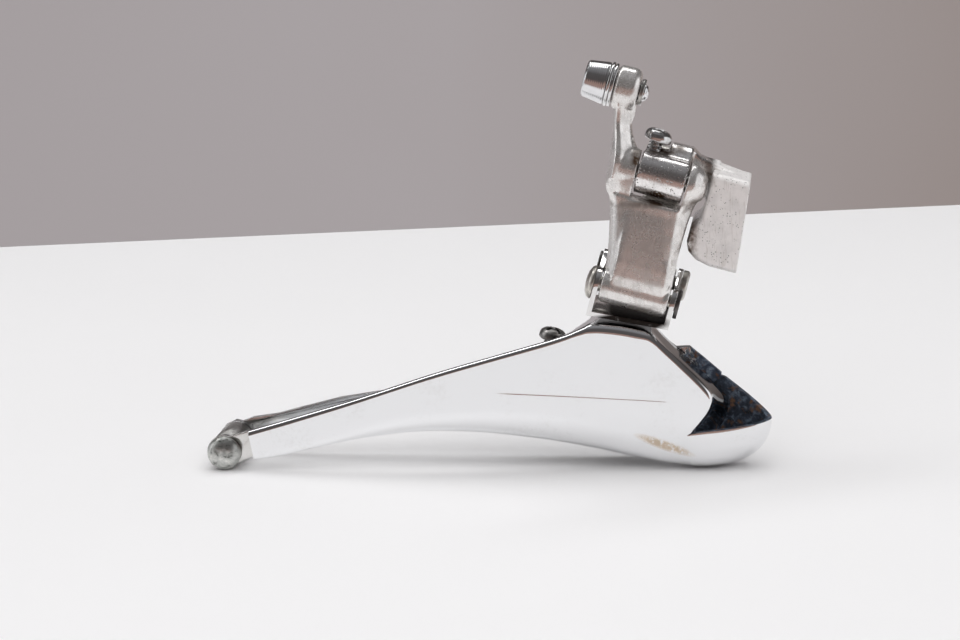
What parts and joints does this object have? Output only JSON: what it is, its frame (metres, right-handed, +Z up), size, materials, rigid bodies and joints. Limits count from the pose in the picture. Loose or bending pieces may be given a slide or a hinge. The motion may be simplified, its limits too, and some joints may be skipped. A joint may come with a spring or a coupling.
{
  "type": "front derailleur",
  "caption": "Front derailleur with a pressed chain cage on a sprung parallelogram, a cable arm with its clamp bolt, limit screws and a mount block for a frame boss.",
  "frame": {"origin": "on the flat front face of the mount block, above its threaded hole, where the frame boss bears", "axes": "+X to the front of the bicycle, +Y inboard, +Z up, as the part stands on its tail screw and nose belly"},
  "size_m": [0.1182, 0.022, 0.0839],
  "materials": {
    "cast_aluminium_mount": "satin polished casting, pitted",
    "polished_aluminium_link": "polished",
    "aluminium_inner_link": "satin",
    "steel_pins": "ground",
    "steel_inner_pin": "ground",
    "steel_lower_outer_pin": "domed head, polished",
    "steel_lower_inner_pin": "ground",
    "steel_lower_outer_clip": "dark spring steel",
    "steel_lower_inner_clip": "dark spring steel",
    "spring_steel": "oiled spring wire",
    "chrome_outer_plate": "mirror chrome",
    "chrome_inner_plate": "chrome under chain grime",
    "chrome_bracket": "chrome",
    "zinc_tail_screw": "worn zinc plate",
    "steel_tail_sleeve": "turned",
    "zinc_tail_nut": "zinc plate",
    "chrome_high_screw": "chrome",
    "chrome_low_screw": "chrome, grimy",
    "chrome_cable_bolt": "chrome, finely turned",
    "chrome_cable_washer": "chrome",
    "chrome_clamp_washer": "chrome",
    "steel_bolt_nut": "steel"
  },
  "bodies": {
    "support": {"mount_body": "cast_aluminium_mount", "upper_outer_pin": "steel_pins", "upper_inner_pin": "steel_inner_pin"},
    "high_screw": {"high_limit_screw": "chrome_high_screw"},
    "outer_arm": {"outer_link": "polished_aluminium_link", "cable_washer": "chrome_cable_washer", "cable_clamp_washer": "chrome_clamp_washer", "cable_bolt_nut": "steel_bolt_nut"},
    "anchor": {"cable_bolt": "chrome_cable_bolt"},
    "inner_arm": {"inner_link": "aluminium_inner_link"},
    "cage": {"cage_outer_plate": "chrome_outer_plate", "cage_inner_plate": "chrome_inner_plate", "cage_bracket": "chrome_bracket", "tail_screw": "zinc_tail_screw", "tail_sleeve": "steel_tail_sleeve", "tail_nut": "zinc_tail_nut", "lower_outer_pin": "steel_lower_outer_pin", "lower_inner_pin": "steel_lower_inner_pin", "lower_outer_clip": "steel_lower_outer_clip", "lower_inner_clip": "steel_lower_inner_clip", "return_spring": "spring_steel"},
    "low_screw": {"low_limit_screw": "chrome_low_screw"}
  },
  "joints": [
    {"name": "outer_link_swing", "type": "hinge", "parent": "support", "child": "outer_arm", "pos_m": [-0.01712, -0.0045, 0.00381], "axis": [-0.9636, 0, 0.2672], "range_deg": [0, 25], "stiffness_Nm_per_rad": 0.25, "springref_deg": -34.38},
    {"name": "inner_link_swing", "type": "hinge", "parent": "support", "child": "inner_arm", "pos_m": [-0.01659, 0.0045, 0.00574], "axis": [-0.9636, 0, 0.2672], "range_deg": [0, 25]},
    {"name": "cage_level", "type": "hinge", "parent": "outer_arm", "child": "cage", "pos_m": [-0.02354, -0.0075, -0.01931], "axis": [-0.9636, 0, 0.2672], "range_deg": [-25, 0]},
    {"name": "high_limit_turn", "type": "hinge", "parent": "support", "child": "high_screw", "pos_m": [-0.01847, -0.0013, 0.01093], "axis": [0.3665, 0, 0.9304], "range_deg": [-720, 720]},
    {"name": "low_limit_turn", "type": "hinge", "parent": "cage", "child": "low_screw", "pos_m": [-0.04062, -0.0049, -0.02978], "axis": [0.2672, 0, 0.9636], "range_deg": [-720, 720]},
    {"name": "anchor_bolt_turn", "type": "hinge", "parent": "outer_arm", "child": "anchor", "pos_m": [-0.01303, -0.002, 0.01856], "axis": [0.9636, 0, -0.2672], "range_deg": [-360, 360]}
  ],
  "couplings": [
    {"joint": "inner_link_swing", "follows": "outer_link_swing", "ratio": 1},
    {"joint": "cage_level", "follows": "outer_link_swing", "ratio": -1}
  ]
}
